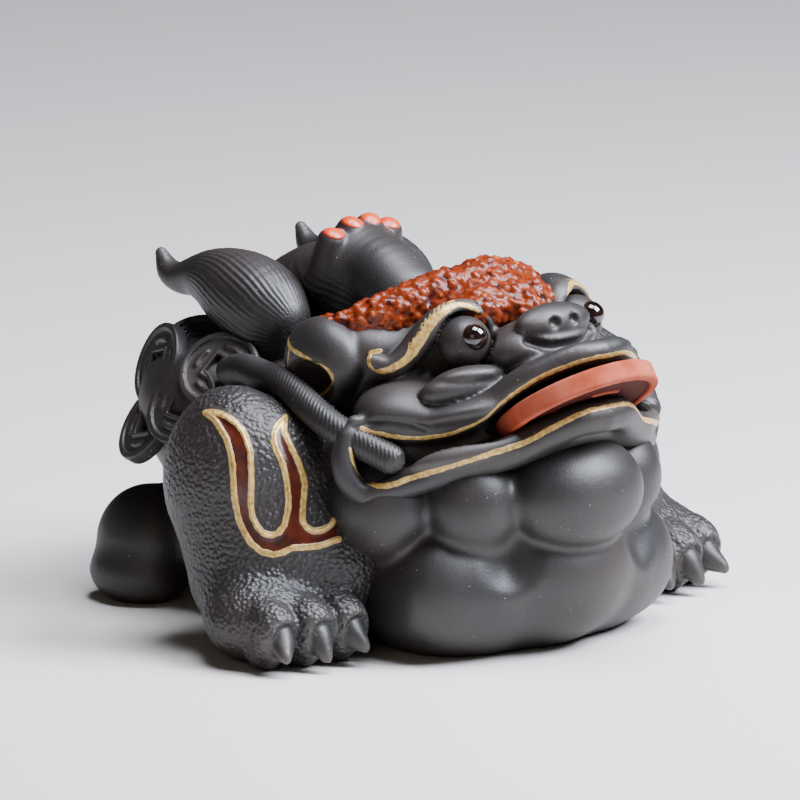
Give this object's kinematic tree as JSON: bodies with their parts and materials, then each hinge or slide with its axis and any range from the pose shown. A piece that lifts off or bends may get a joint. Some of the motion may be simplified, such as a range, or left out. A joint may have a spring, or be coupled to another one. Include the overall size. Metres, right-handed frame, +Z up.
{
  "type": "tea pet figurine",
  "caption": "Hollow fired-clay toad tea pet resting on a flat base, with a loose clay coin in its open mouth and glossy bead pupils.",
  "frame": {"origin": "on the flat base, under the middle of the body, on the plane of symmetry", "axes": "+X to the toad's own left, -Y the way the toad faces, +Z up from the surface it rests on"},
  "size_m": [0.111, 0.1096, 0.0685],
  "materials": {
    "dark_clay": "unglazed fired clay, satin, with gold line and red glaze accents",
    "red_clay": "unglazed fired red clay, matt",
    "glazed_bead": "gloss glaze"
  },
  "bodies": {
    "root": {"toad_body": "dark_clay", "mouth_coin": "red_clay", "left_pupil_bead": "glazed_bead", "right_pupil_bead": "glazed_bead"}
  },
  "joints": []
}
